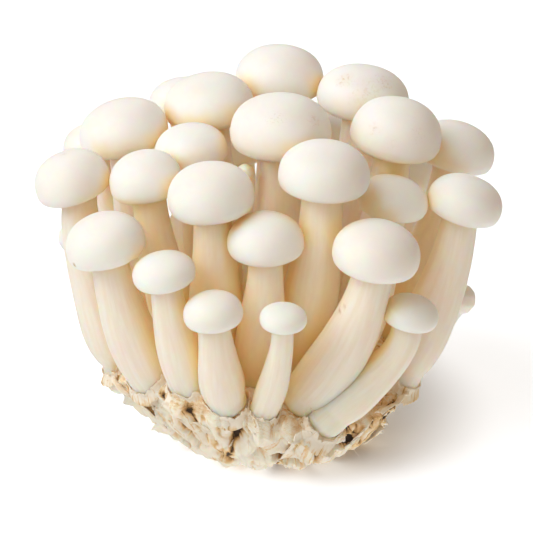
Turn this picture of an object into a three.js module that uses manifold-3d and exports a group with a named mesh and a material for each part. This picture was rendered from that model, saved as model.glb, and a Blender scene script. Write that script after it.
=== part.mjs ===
// A cluster of white beech mushrooms, standing on the torn block of mycelium that it grew from.
// Millimetres, +Z up. The origin is the middle of the flat face it stands on, and -Y is its front.
import * as THREE from "three";
import { mergeVertices } from "three/addons/utils/BufferGeometryUtils.js";
import Module from "manifold-3d";

const wasm = await Module();
wasm.setup();

// Gap left wherever two pieces touch.
const gap = 0.3;

// The block of mycelium: a lobed bowl, narrow at the foot it stands on and wide at its rim. rimShift moves
// the rim sideways off the foot. rimWaves raise or lower the rim by a share of its height, around the degrees
// that turn gives.
const block = {
  footRadius: 18,
  rimRadius: 36.5,
  rimHeight: 18,
  crownHeight: 25,
  belly: 0.55,
  rimShift: -2,
  depthShare: 0.94,
  lobes: 9,
  lobeDepth: 0.03,
  rimWaves: [
    { turn: -130, width: 25, lift: 0.17 },
    { turn: -62, width: 28, lift: -0.28 },
  ],
  sides: 45,
};

// Shares of a cap's diameter: the dome above its widest ring, the rolled margin below it, where that
// margin turns in, and how deep the gills are hollowed.
const capShape = { dome: 0.38, margin: 0.15, gillRim: 0.4, gillHollow: 0.06, sides: 16 };

// Shares of a cap's diameter: the stem's width under the cap, at its widest and at its foot. widestAt is a
// share of the stem's length.
const stemShape = { top: 0.47, widest: 0.7, foot: 0.54, widestAt: 0.32, rings: 8, sides: 12 };

// A foot stands this share of its cap's distance from the middle, and this deep in the block.
const footShare = 0.6;
const footDepth = 4;

// A stem leaves the block at a slant this many times its chord's, and meets its cap at this share of it.
const startSlant = 1.8;
const endSlant = 0.1;

// A cap leans outwards by this many degrees for each millimetre that it stands off the middle.
const leanPerMm = { x: 0.35, y: 0.12 };

// One row per mushroom, front to back: the middle of its cap's widest ring, the cap's diameter, then what
// differs from the rules above. dome replaces capShape's, foot is where the stem stands in plan, fat scales
// the stem's width and slant replaces startSlant.
const mushrooms = [
  { x: 2.4, y: -40, z: 46.6, d: 10.5, dome: 0.31, foot: [-3, -27.5] },
  { x: -13.1, y: -38, z: 47, d: 13.3, dome: 0.355, foot: [-10, -25.5], fat: 1.15 },
  { x: -24, y: -33, z: 54.6, d: 14.1, dome: 0.31, foot: [-17, -23], fat: 1.08 },
  { x: 31.1, y: -28, z: 42.5, d: 12.7, dome: 0.34, foot: [7, -27], fat: 1.15, slant: 2.5 },
  { x: 23, y: -30, z: 57.7, d: 19.7, foot: [3.5, -24], fat: 1 },
  { x: -1.5, y: -26, z: 59.1, d: 17.2, dome: 0.39, foot: [-5, -16], fat: 0.95 },
  { x: -37.2, y: -25, z: 58.2, d: 18.1, dome: 0.39, foot: [-25, -14], slant: 2.1 },
  { x: -13.7, y: -22, z: 68.2, d: 19.5, dome: 0.405, foot: [-13, -11], fat: 0.95 },
  { x: 11.6, y: -20, z: 72.9, d: 20.7, dome: 0.365, foot: [4, -9], fat: 0.95 },
  { x: -28.6, y: -12, z: 68.4, d: 16.7, dome: 0.43 },
  { x: 27.5, y: -10, z: 63.1, d: 16.3, dome: 0.335, fat: 0.9 },
  { x: 44.1, y: -8, z: 61.7, d: 17.5, dome: 0.365, foot: [27, -9], fat: 1.04, slant: 2.2 },
  { x: -45.5, y: -8, z: 66.7, d: 17.5, dome: 0.435, foot: [-32, -4], slant: 2.7 },
  { x: 2, y: 0, z: 75.9, d: 23.2, dome: 0.395, fat: 0.85 },
  { x: -18.7, y: 1, z: 70.8, d: 17.1, dome: 0.4, fat: 0.8 },
  { x: 28.5, y: 2, z: 74.4, d: 21.2, dome: 0.43, fat: 0.85 },
  { x: -34.7, y: 11, z: 72.2, d: 21, foot: [-26, 7], fat: 0.9 },
  { x: 43.2, y: 14, z: 66.8, d: 19.1, dome: 0.355, foot: [27, 8], fat: 0.9 },
  { x: -14.8, y: 18, z: 76.3, d: 21.2, fat: 0.85 },
  { x: 21.7, y: 23, z: 76.8, d: 22, dome: 0.36, fat: 0.85 },
  { x: -43, y: 24, z: 64.7, d: 14.5, foot: [-28, 16] },
  { x: 1.8, y: 32, z: 78.4, d: 21.4, dome: 0.4, fat: 0.9 },
  { x: -21.6, y: 37.5, z: 70.7, d: 17, foot: [-17, 20], fat: 0.95 },
  { x: 36, y: 36, z: 53, d: 16, foot: [21, 20] },
  { x: -34, y: 40, z: 54, d: 15.5, foot: [-20, 21] },
  { x: -9, y: 46, z: 56, d: 17, foot: [-5, 27] },
  { x: 15, y: 46, z: 59, d: 17.5, foot: [9, 26] },
];

// Very young ones, whose bud is still fused with its stem.
const pins = [
  { x: -46.5, y: 4, z: 49, d: 7.6, foot: [-33, 4] },
  { x: 45.2, y: 6, z: 32.5, d: 7.4, foot: [32, 4] },
  { x: -6, y: -4, z: 68, d: 4.5, foot: [-5, -3] },
  { x: 2, y: 42, z: 39, d: 9, foot: [1, 28] },
  { x: -22, y: 42, z: 38, d: 8, foot: [-13, 27] },
];

const up = new THREE.Vector3(0, 0, 1);

function smooth(from, to, value) {
  return THREE.MathUtils.smoothstep(value, from, to);
}

// A turned shape with its axis on +Z, from [radius, height] pairs that start and end on the axis.
function turned(profile, sides) {
  const points = profile.map(([radius, height]) => new THREE.Vector2(radius, height));
  return new THREE.LatheGeometry(points, sides).rotateX(Math.PI / 2);
}

// Changes each vertex of a geometry in place.
function reshape(geometry, change) {
  const position = geometry.getAttribute("position");
  const point = new THREE.Vector3();
  for (let i = 0; i < position.count; i += 1) {
    point.fromBufferAttribute(position, i);
    change(point);
    position.setXYZ(i, point.x, point.y, point.z);
  }
  return geometry;
}

function solidOf(geometry) {
  const bare = geometry.clone();
  bare.deleteAttribute("normal");
  bare.deleteAttribute("uv");
  const merged = mergeVertices(bare, 1e-3);
  return new wasm.Manifold(
    new wasm.Mesh({
      numProp: 3,
      vertProperties: merged.getAttribute("position").array,
      triVerts: new Uint32Array(merged.index.array),
    }),
  );
}

function geometryOf(solid) {
  const mesh = solid.getMesh();
  const geometry = new THREE.BufferGeometry();
  geometry.setAttribute("position", new THREE.BufferAttribute(mesh.vertProperties, 3));
  geometry.setIndex(new THREE.BufferAttribute(mesh.triVerts, 1));
  return geometry.toNonIndexed();
}

// The block's top at a distance from its middle, as a share of the rim's radius.
function blockTop(share) {
  return THREE.MathUtils.lerp(block.crownHeight, block.rimHeight + 2, share ** 2);
}

// How many times higher the block is at a spot in plan than it would be with a level rim.
function rimLift(x, y) {
  const turn = THREE.MathUtils.radToDeg(Math.atan2(y, x));
  let lift = 0;
  for (const wave of block.rimWaves) {
    const off = THREE.MathUtils.euclideanModulo(turn - wave.turn + 180, 360) - 180;
    lift += wave.lift * Math.exp(-((off / wave.width) ** 2));
  }
  return 1 + lift * smooth(0.3, 1, Math.hypot(x, y / block.depthShare) / block.rimRadius);
}

// The mycelium block, grown outwards by extra millimetres.
function blockGeometry(extra) {
  const { footRadius, rimRadius, rimHeight, belly, rimShift, depthShare, lobes, lobeDepth } = block;
  const profile = [
    [0, 0],
    [footRadius + extra, 0],
  ];
  for (const share of [0.05, 0.2, 0.5, 1]) {
    const radius = THREE.MathUtils.lerp(footRadius, rimRadius, share ** belly);
    profile.push([radius + extra, rimHeight * share]);
  }
  for (const share of [0.93, 0.7, 0.4, 0]) profile.push([rimRadius * share, blockTop(share) + extra]);
  return reshape(turned(profile, block.sides), (point) => {
    const angle = Math.atan2(point.y, point.x);
    const wave = Math.cos(lobes * angle) + 0.6 * Math.cos(4 * angle + 1);
    const swell = 1 + lobeDepth * wave;
    const level = point.z;
    point.z *= rimLift(point.x, point.y * depthShare);
    point.x = point.x * swell + rimShift * smooth(0, rimHeight, level);
    point.y *= swell * depthShare;
  });
}

// The direction a cap faces.
function capAxis({ x, y }) {
  const toX = THREE.MathUtils.degToRad(x * leanPerMm.x);
  const toY = THREE.MathUtils.degToRad(y * leanPerMm.y);
  return new THREE.Vector3(Math.tan(toX), Math.tan(toY), 1).normalize();
}

// A cap about its widest ring: gills underneath, rolled margin, dome.
function capGeometry({ d, dome = capShape.dome }, extra) {
  const { margin, gillRim, gillHollow, sides } = capShape;
  const floor = -margin * d - extra;
  const profile = [
    [0, floor + gillHollow * d],
    [0.28 * d, floor + gillHollow * d],
  ];
  for (const degrees of [-90, -45]) {
    const turn = THREE.MathUtils.degToRad(degrees);
    const radius = gillRim * d + ((0.5 - gillRim) * d + extra) * Math.cos(turn);
    profile.push([radius, -floor * Math.sin(turn)]);
  }
  for (const degrees of [0, 22, 45, 68, 90]) {
    const turn = THREE.MathUtils.degToRad(degrees);
    profile.push([(0.5 * d + extra) * Math.cos(turn), (dome * d + extra) * Math.sin(turn)]);
  }
  profile[profile.length - 1][0] = 0;
  return turned(profile, sides);
}

function capPlace(mushroom) {
  const turn = new THREE.Quaternion().setFromUnitVectors(up, capAxis(mushroom));
  const place = new THREE.Vector3(mushroom.x, mushroom.y, mushroom.z);
  return new THREE.Matrix4().compose(place, turn, new THREE.Vector3(1, 1, 1));
}

// The line a stem grows along, from inside the block to just under its cap.
function stemPath(mushroom, below) {
  const { x, y, z, slant = startSlant } = mushroom;
  const [footX, footY] = mushroom.foot ?? [x * footShare, y * footShare];
  const share = Math.hypot(footX, footY / block.depthShare) / block.rimRadius;
  const start = new THREE.Vector3(footX, footY, blockTop(share) * rimLift(footX, footY) - footDepth);
  const axis = capAxis(mushroom);
  const end = new THREE.Vector3(x, y, z).addScaledVector(axis, -below);
  const chord = end.clone().sub(start);
  const length = chord.length();
  const leaving = new THREE.Vector3(chord.x * slant, chord.y * slant, chord.z).normalize();
  const arriving = new THREE.Vector3(chord.x * endSlant, chord.y * endSlant, chord.z).normalize();
  arriving.add(axis).normalize();
  return new THREE.CubicBezierCurve3(
    start,
    start.clone().addScaledVector(leaving, length * 0.36),
    end.clone().addScaledVector(arriving, -length * 0.36),
    end,
  );
}

// A stem's radius at a share of its length, as a share of its cap's diameter.
function stemRadius(at) {
  const { top, widest, foot, widestAt } = stemShape;
  const swell = smooth(0, widestAt, at);
  const taper = smooth(widestAt, 1, at);
  return THREE.MathUtils.lerp(THREE.MathUtils.lerp(foot, widest, swell), top, taper) / 2;
}

// Bends a shape that stands on +Z, one unit tall, along a path.
function bend(geometry, path) {
  return reshape(geometry, (point) => {
    const at = THREE.MathUtils.clamp(point.z, 0, 1);
    const along = path.getTangentAt(at);
    const across = new THREE.Vector3(1, 0, 0).addScaledVector(along, -along.x).normalize();
    const behind = along.clone().cross(across);
    const centre = path.getPointAt(at);
    point.set(
      centre.x + across.x * point.x + behind.x * point.y,
      centre.y + across.y * point.x + behind.y * point.y,
      centre.z + across.z * point.x + behind.z * point.y,
    );
  });
}

function stemGeometry(mushroom, extra) {
  const { d, fat = 1 } = mushroom;
  const { rings, sides } = stemShape;
  const underCap = (capShape.margin - capShape.gillHollow) * d + gap;
  const profile = [[0, 0]];
  for (let ring = 0; ring <= rings; ring += 1) {
    const at = ring / rings;
    profile.push([stemRadius(at) * d * fat + extra, at]);
  }
  profile.push([0, 1]);
  return bend(turned(profile, sides), stemPath(mushroom, underCap));
}

// A pin's stem and its bud, as one shape.
function pinGeometry(pin, extra) {
  const budLength = pin.d * 0.9;
  const path = stemPath(pin, -pin.d * 0.45);
  const budShare = budLength / path.getLength();
  const profile = [[0, 0]];
  for (const at of [0, 0.3, 0.65, 1]) {
    profile.push([pin.d * THREE.MathUtils.lerp(0.36, 0.26, at) + extra, at * (1 - budShare)]);
  }
  for (const degrees of [-35, 0, 35, 65]) {
    const turn = THREE.MathUtils.degToRad(degrees);
    const radius = (pin.d / 2) * Math.cos(turn) + extra;
    profile.push([radius, 1 - budShare * (0.55 - 0.55 * Math.sin(turn))]);
  }
  profile.push([0, 1]);
  return bend(turned(profile, 10), path);
}

// What is left of a solid once the others are cut away, less any sliver cut loose from it.
function trimmed(solid, others) {
  const left = solid.subtract(wasm.Manifold.union(others)).simplify(0.03);
  const pieces = left.decompose().sort((a, b) => b.volume() - a.volume());
  return pieces[0];
}

const finishes = {
  block: new THREE.MeshStandardMaterial({ color: 0xd9c4a0, roughness: 0.9, metalness: 0 }),
  stem: new THREE.MeshStandardMaterial({ color: 0xf1e6d2, roughness: 0.6, metalness: 0 }),
  cap: new THREE.MeshStandardMaterial({ color: 0xf7f0e6, roughness: 0.45, metalness: 0 }),
};

function named(name, geometry, finish) {
  geometry.computeVertexNormals();
  const mesh = new THREE.Mesh(geometry, finish);
  mesh.name = name;
  return mesh;
}

function number(index) {
  return String(index + 1).padStart(2, "0");
}

const cluster = new THREE.Group();
cluster.add(named("mycelium_block", blockGeometry(0), finishes.block));

const capSolids = mushrooms.map((mushroom) =>
  solidOf(capGeometry(mushroom, gap).applyMatrix4(capPlace(mushroom))),
);
const standing = [solidOf(blockGeometry(gap))];

mushrooms.forEach((mushroom, index) => {
  const cap = named(`cap_${number(index)}`, capGeometry(mushroom, 0), finishes.cap);
  cap.applyMatrix4(capPlace(mushroom));
  cluster.add(cap);

  const stem = trimmed(solidOf(stemGeometry(mushroom, 0)), [...standing, ...capSolids]);
  cluster.add(named(`stem_${number(index)}`, geometryOf(stem), finishes.stem));
  standing.push(solidOf(stemGeometry(mushroom, gap)));
});

pins.forEach((pin, index) => {
  const solid = trimmed(solidOf(pinGeometry(pin, 0)), [...standing, ...capSolids]);
  cluster.add(named(`pin_${number(index)}`, geometryOf(solid), finishes.cap));
  standing.push(solidOf(pinGeometry(pin, gap)));
});

export default cluster;
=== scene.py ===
import math
import random

import bpy
import numpy as np
from mathutils import Matrix, Vector, noise
from mathutils.bvhtree import BVHTree


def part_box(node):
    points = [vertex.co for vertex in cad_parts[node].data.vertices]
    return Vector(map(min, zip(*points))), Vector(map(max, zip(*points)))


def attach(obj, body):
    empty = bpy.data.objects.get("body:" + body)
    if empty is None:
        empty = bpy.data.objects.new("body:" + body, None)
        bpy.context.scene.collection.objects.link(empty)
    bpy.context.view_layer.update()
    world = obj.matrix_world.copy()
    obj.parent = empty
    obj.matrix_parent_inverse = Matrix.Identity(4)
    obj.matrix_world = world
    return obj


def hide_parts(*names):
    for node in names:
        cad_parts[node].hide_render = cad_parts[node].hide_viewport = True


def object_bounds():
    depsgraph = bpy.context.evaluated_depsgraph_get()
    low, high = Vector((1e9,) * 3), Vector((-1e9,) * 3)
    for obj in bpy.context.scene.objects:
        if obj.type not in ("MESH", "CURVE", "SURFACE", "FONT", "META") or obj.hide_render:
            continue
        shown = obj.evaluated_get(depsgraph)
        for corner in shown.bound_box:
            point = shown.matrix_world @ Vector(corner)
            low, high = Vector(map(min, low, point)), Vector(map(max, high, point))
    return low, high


# A bunch of white beech mushrooms on its torn block of mycelium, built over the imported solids.
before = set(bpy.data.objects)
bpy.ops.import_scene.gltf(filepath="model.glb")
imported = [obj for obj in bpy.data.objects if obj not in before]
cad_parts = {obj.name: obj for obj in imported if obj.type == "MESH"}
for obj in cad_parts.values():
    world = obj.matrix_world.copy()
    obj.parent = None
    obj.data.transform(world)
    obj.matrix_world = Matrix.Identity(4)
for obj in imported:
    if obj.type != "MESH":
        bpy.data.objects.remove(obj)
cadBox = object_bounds()
mm = 0.001
low, high = Vector(cadBox[0]), Vector(cadBox[1])
capNodes = sorted(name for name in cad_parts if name.startswith("cap_"))
stemNodes = sorted(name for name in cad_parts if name.startswith("stem_"))
pinNodes = sorted(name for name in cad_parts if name.startswith("pin_"))
blockNode = "mycelium_block"


def deselectAll():
    if bpy.context.mode != "OBJECT":
        bpy.ops.object.mode_set(mode="OBJECT")
    bpy.ops.object.select_all(action="DESELECT")


def pickOnly(piece):
    deselectAll()
    piece.select_set(True)
    bpy.context.view_layer.objects.active = piece


def editAll(piece):
    pickOnly(piece)
    bpy.ops.object.mode_set(mode="EDIT")
    bpy.ops.mesh.select_all(action="SELECT")


def editWhere(piece, test):  # into edit mode, with only the vertices that pass the test selected
    editAll(piece)
    bpy.ops.mesh.select_all(action="DESELECT")
    bpy.ops.object.mode_set(mode="OBJECT")
    for vertex in piece.data.vertices:
        vertex.select = bool(test(vertex.co))
    bpy.ops.object.mode_set(mode="EDIT")
    bpy.ops.mesh.select_mode(type="VERT")


def closeAndFaceOut(piece):
    editAll(piece)
    bpy.ops.mesh.remove_doubles(threshold=1e-7)
    bpy.ops.mesh.normals_make_consistent(inside=False)
    bpy.ops.object.mode_set(mode="OBJECT")
    bpy.ops.object.shade_smooth()


def turnedShell(name, outline, sides):  # rings extruded one after another; both ends merged to a point
    deselectAll()
    radius, height = outline[0]
    bpy.ops.mesh.primitive_circle_add(vertices=sides, radius=radius, location=(0, 0, height))
    piece = bpy.context.object
    piece.name = name
    bpy.ops.object.transform_apply()
    bpy.ops.object.mode_set(mode="EDIT")
    bpy.ops.mesh.select_all(action="SELECT")
    for nextRadius, nextHeight in outline[1:]:
        bpy.ops.mesh.extrude_region_move(TRANSFORM_OT_translate={"value": (0, 0, nextHeight - height)})
        grow = nextRadius / radius
        bpy.ops.transform.resize(value=(grow, grow, 1), center_override=(0, 0, nextHeight))
        radius, height = nextRadius, nextHeight
    bpy.ops.mesh.merge(type="CENTER")
    firstHeight = outline[0][1]
    firstRadius = outline[0][0]
    editWhere(piece, lambda co: abs(co.z - firstHeight) < 1e-6 and co.xy.length < firstRadius * 1.01)
    bpy.ops.mesh.merge(type="CENTER")
    closeAndFaceOut(piece)
    return piece


def copyOf(master, name):
    piece = master.copy()
    piece.data = master.data.copy()
    piece.name = name
    piece.data.name = name
    bpy.context.scene.collection.objects.link(piece)
    return piece


def applyModifier(piece, kind, **settings):
    pickOnly(piece)
    bpy.ops.object.modifier_add(type=kind)
    modifier = piece.modifiers[-1]
    for key, value in settings.items():
        setattr(modifier, key, value)
    bpy.ops.object.modifier_apply(modifier=modifier.name)


def places(mesh):
    flat = np.empty(len(mesh.vertices) * 3)
    mesh.vertices.foreach_get("co", flat)
    return flat.reshape(-1, 3)


def movePlaces(mesh, points):
    mesh.vertices.foreach_set("co", np.asarray(points, float).ravel())
    mesh.update()


def turnBetween(first, second):
    return (first - second + math.pi) % (2 * math.pi) - math.pi


def keepPlaces(piece, attribute, points):  # the pattern's own coordinates, which stay when the piece is bent
    layer = piece.data.attributes.new(attribute, "FLOAT_VECTOR", "POINT")
    layer.data.foreach_set("vector", np.asarray(points, np.float32).ravel())


crowdSet = {"reach": 22 * mm, "start": 0.7 * mm, "tilts": (0.35, 0.75, 0.95), "turns": 5}


def bunchTree():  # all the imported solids, for telling which spots lie deep in the bunch
    points, faces = [], []
    for node in capNodes + stemNodes + [blockNode]:
        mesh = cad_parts[node].data
        first = len(points)
        points.extend(vertex.co.copy() for vertex in mesh.vertices)
        faces.extend([first + corner for corner in polygon.vertices] for polygon in mesh.polygons)
    return BVHTree.FromPolygons(points, faces)


bunch = bunchTree()


def crowdingAt(spot, outward, start):  # share of the sky over a spot that its neighbours hide
    side = outward.orthogonal().normalized()
    behind = outward.cross(side)
    hidden = 0.0
    whole = 0.0
    for tilt in crowdSet["tilts"]:
        rise = math.sqrt(1 - tilt * tilt)
        for turn in range(crowdSet["turns"]):
            angle = 2 * math.pi * (turn + tilt) / crowdSet["turns"]
            ray = outward * rise + side * (tilt * math.cos(angle)) + behind * (tilt * math.sin(angle))
            far = bunch.ray_cast(spot + outward * start, ray, crowdSet["reach"])[3]
            whole += 1
            if far is not None:
                hidden += 1 - 0.5 * far / crowdSet["reach"]
    return hidden / whole


def keepCrowding(piece, off=0.0):
    mesh = piece.data
    values = np.zeros(len(mesh.vertices), np.float32)
    for index, vertex in enumerate(mesh.vertices):
        values[index] = crowdingAt(vertex.co, vertex.normal, crowdSet["start"] + off)
    for _ in range(3):  # even out the rays' steps along the edges
        edges = np.array([edge.vertices[:] for edge in mesh.edges])
        total = np.zeros(len(values))
        count = np.zeros(len(values))
        np.add.at(total, edges[:, 0], values[edges[:, 1]])
        np.add.at(total, edges[:, 1], values[edges[:, 0]])
        np.add.at(count, edges.ravel(), 1)
        values = (values + total) / (1 + count)
    keepNumbers(piece, "crowding", values)


def keepNumbers(piece, attribute, values):
    layer = piece.data.attributes.new(attribute, "FLOAT", "POINT")
    layer.data.foreach_set("value", np.asarray(values, np.float32))


def finishPiece(piece, slot, material, *nodes):
    piece.data.materials.clear()
    piece.data.materials.append(material)
    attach(piece, "root")
    if nodes:
        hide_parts(*nodes)


# camera and studio
camSet = {"elevation": 22, "distance": 0.6, "lens": 172.4, "acrossShare": 0.495, "upShare": 0.494}


def setCamera():
    across = low.x + (high.x - low.x) * camSet["acrossShare"]
    aim = Vector((across, 0, high.z * camSet["upShare"]))
    tilt = math.radians(camSet["elevation"])
    back = Vector((0, -math.cos(tilt), math.sin(tilt))) * camSet["distance"]
    bpy.ops.object.camera_add(location=aim + back, rotation=(math.pi / 2 - tilt, 0, 0))
    camera = bpy.context.object
    camera.name = "viewCamera"
    camera.data.lens = camSet["lens"]
    camera.data.sensor_width = 36
    camera.data.clip_start = 0.01
    bpy.context.scene.camera = camera


lightSet = {
    # place, size and power of each soft lamp; the one underneath stands for light that the pale floor returns
    "lamps": {
        "key": ((-0.6, -0.4, 0.95), 1.0, 6.5),
        "side": ((-0.95, -0.35, 0.55), 0.9, 4.3),
        "front": ((-0.1, -0.9, 0.8), 1.0, 1.5),
        "back": ((0.0, 0.95, 0.7), 0.8, 2.5),
        "under": ((0.1, -0.15, -0.5), 1.4, 4.6),
    },
    "lampTone": (0.92, 0.96, 1.0), "skyTone": (1.0, 0.82, 0.6), "skyStrength": 0.35, "bounces": 12,
    # the floor glows by its own emission past the soft shadow, which falls to the right and behind: painted
    # light round the shadow
    "floorTone": (0.86, 0.9, 0.98, 1), "glowTone": (0.97, 0.985, 1.0, 1), "floorGlow": 0.53,
    "glowMiddle": (0.01, 0.016), "glowSquash": 0.85, "glowFrom": 0.02, "glowFull": 0.047,
}


def addLamp(name, place, size, power):
    bpy.ops.object.light_add(type="AREA", location=place)
    lamp = bpy.context.object
    lamp.name = name
    lamp.data.shape = "DISK"
    lamp.data.size = size
    lamp.data.energy = power
    lamp.data.color = lightSet["lampTone"]
    lamp.rotation_euler = (Vector((0, 0, 0.03)) - Vector(place)).to_track_quat("-Z", "Y").to_euler()


def setStudio():
    scene = bpy.context.scene
    scene.view_settings.view_transform = "Standard"
    scene.cycles.max_bounces = scene.cycles.diffuse_bounces = lightSet["bounces"]  # light fills the gaps
    world = bpy.data.worlds.new("paleRoom")
    world.use_nodes = True
    world.node_tree.nodes["Background"].inputs["Color"].default_value = (*lightSet["skyTone"], 1)
    world.node_tree.nodes["Background"].inputs["Strength"].default_value = lightSet["skyStrength"]
    scene.world = world
    for lamp, (place, size, power) in lightSet["lamps"].items():
        addLamp(lamp + "Lamp", place, size, power)
    deselectAll()
    bpy.ops.mesh.primitive_plane_add(size=8, location=(0, 0, -0.05 * mm))
    floor = bpy.context.object
    floor.name = "paleFloor"
    floor.visible_diffuse = False
    floor.visible_shadow = False
    floor.data.materials.append(floorPaint())


# finishes
class Nodes:  # a small helper for wiring one material
    def __init__(self, name):
        self.material = bpy.data.materials.new(name)
        self.material.use_nodes = True
        self.tree = self.material.node_tree
        self.shader = self.tree.nodes["Principled BSDF"]

    def add(self, kind, **settings):
        node = self.tree.nodes.new(kind)
        inputs = settings.pop("inputs", {})
        for key, value in settings.items():
            setattr(node, key, value)
        for key, value in inputs.items():
            self.put(node.inputs[key], value)
        return node

    def put(self, socket, value):
        if isinstance(value, bpy.types.NodeSocket):
            self.tree.links.new(value, socket)
        else:
            socket.default_value = value

    def set(self, **values):
        for key, value in values.items():
            self.put(self.shader.inputs[key.replace("_", " ")], value)

    def number(self, attribute):
        return self.add("ShaderNodeAttribute", attribute_name=attribute).outputs["Fac"]

    def mapped(self, source, scale, turn=(0, 0, 0)):
        node = self.add("ShaderNodeMapping", inputs={"Vector": source, "Scale": scale, "Rotation": turn})
        return node.outputs["Vector"]

    def noise(self, vector, scale, detail=3, roughness=0.5, distortion=0.0):
        given = {"Vector": vector, "Scale": scale, "Detail": detail}
        given.update({"Roughness": roughness, "Distortion": distortion})
        return self.add("ShaderNodeTexNoise", inputs=given).outputs["Fac"]

    def span(self, value, fromLow, fromHigh, toLow=0.0, toHigh=1.0):
        given = {"Value": value, "From Min": fromLow, "From Max": fromHigh, "To Min": toLow, "To Max": toHigh}
        return self.add("ShaderNodeMapRange", interpolation_type="SMOOTHSTEP", inputs=given).outputs["Result"]

    def mix(self, share, first, second):
        node = self.add("ShaderNodeMix", data_type="RGBA")
        self.put(node.inputs["Factor"], share)
        self.put(node.inputs["A"], first)
        self.put(node.inputs["B"], second)
        return node.outputs["Result"]

    def maths(self, operation, first, second=0.0):
        node = self.add("ShaderNodeMath", operation=operation)
        self.put(node.inputs[0], first)
        self.put(node.inputs[1], second)
        return node.outputs["Value"]

    def bump(self, height, strength, distance, normal=None):
        given = {"Height": height, "Strength": strength, "Distance": distance}
        node = self.add("ShaderNodeBump", inputs=given)
        if normal is not None:
            self.put(node.inputs["Normal"], normal)
        return node.outputs["Normal"]


def floorPaint():  # pale, and glowing by its own emission past the soft shadow: painted light
    wire = Nodes("paleFloorPaint")
    across, back = lightSet["glowMiddle"]
    fromMiddle = {0: objectPlace(wire), 1: (across, back, 0)}
    centred = wire.add("ShaderNodeVectorMath", operation="SUBTRACT", inputs=fromMiddle)
    squashed = wire.mapped(centred.outputs["Vector"], (1, lightSet["glowSquash"], 1))
    away = wire.add("ShaderNodeVectorMath", operation="LENGTH", inputs={0: squashed}).outputs["Value"]
    wire.set(Base_Color=lightSet["floorTone"], Roughness=0.8, Specular_IOR_Level=0.1)
    wire.set(Emission_Color=lightSet["glowTone"])
    glow = wire.span(away, lightSet["glowFrom"], lightSet["glowFull"], 0, lightSet["floorGlow"])
    wire.set(Emission_Strength=glow)
    return wire.material


def objectPlace(wire):
    return wire.add("ShaderNodeTexCoord").outputs["Object"]


def ownPlace(wire, attribute):
    return wire.add("ShaderNodeAttribute", attribute_name=attribute).outputs["Vector"]


def paintedGapShade(wire):  # how deep among its neighbours a spot lies, where the skin gets painted shade: warmer, deeper cream
    return wire.span(wire.number("crowding"), 0.12, 0.8, 0, 1)


def capFinish():
    wire = Nodes("ivoryCapSkin")
    place = objectPlace(wire)
    broad = wire.noise(place, 55, 2)
    tone = wire.mix(wire.span(broad, 0.35, 0.65), (0.935, 0.905, 0.87, 1), (0.95, 0.925, 0.905, 1))
    # painted shade: warmer, deeper cream where the neighbours hide the sky
    tone = wire.mix(paintedGapShade(wire), tone, (0.965, 0.79, 0.53, 1))
    fine = wire.noise(place, 900, 4, 0.6)
    soft = wire.noise(place, 140, 3)
    scuff = wire.number("scuff")
    pits = wire.maths("MULTIPLY", wire.span(wire.noise(place, 1300, 3, 0.65), 0.52, 0.66), scuff)
    tone = wire.mix(wire.maths("MULTIPLY", scuff, 0.2), tone, (0.86, 0.775, 0.65, 1))
    tone = wire.mix(wire.maths("MULTIPLY", pits, 0.6), tone, (0.77, 0.62, 0.45, 1))
    tone = wire.mix(wire.number("stain"), tone, (0.62, 0.40, 0.17, 1))
    normal = wire.bump(wire.maths("SUBTRACT", 1, pits), 0.9, 0.25 * mm)
    normal = wire.bump(fine, 0.2, 0.06 * mm, normal)
    normal = wire.bump(soft, 0.25, 0.2 * mm, normal)
    wire.set(Base_Color=tone, Roughness=0.5, Normal=normal)
    wire.set(Specular_IOR_Level=0.3, Subsurface_Weight=0.9, Subsurface_Scale=0.006)
    wire.set(Subsurface_Radius=(1.0, 0.46, 0.26))
    return wire.material


def stemFinish():
    wire = Nodes("creamStemFlesh")
    grain = ownPlace(wire, "grain")
    streak = wire.noise(wire.mapped(grain, (1, 1, 0.06)), 900, 3, 0.5)
    wide = wire.noise(wire.mapped(grain, (1, 1, 0.15)), 150, 2)
    tone = wire.mix(wire.span(streak, 0.3, 0.7), (0.90, 0.83, 0.725, 1), (0.935, 0.885, 0.81, 1))
    tone = wire.mix(wire.span(wide, 0.45, 0.75, 0, 0.3), tone, (0.90, 0.81, 0.65, 1))
    # painted shade: warmer, deeper cream where the neighbours hide the sky
    tone = wire.mix(paintedGapShade(wire), tone, (0.995, 0.83, 0.525, 1))
    tone = wire.mix(wire.number("stain"), tone, (0.40, 0.22, 0.08, 1))
    normal = wire.bump(streak, 0.5, 0.2 * mm)
    normal = wire.bump(wide, 0.4, 0.5 * mm, normal)
    wire.set(Base_Color=tone, Roughness=0.52, Normal=normal)
    wire.set(Specular_IOR_Level=0.3, Subsurface_Weight=0.9, Subsurface_Scale=0.006)
    wire.set(Subsurface_Radius=(1.0, 0.48, 0.24))
    return wire.material


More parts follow.
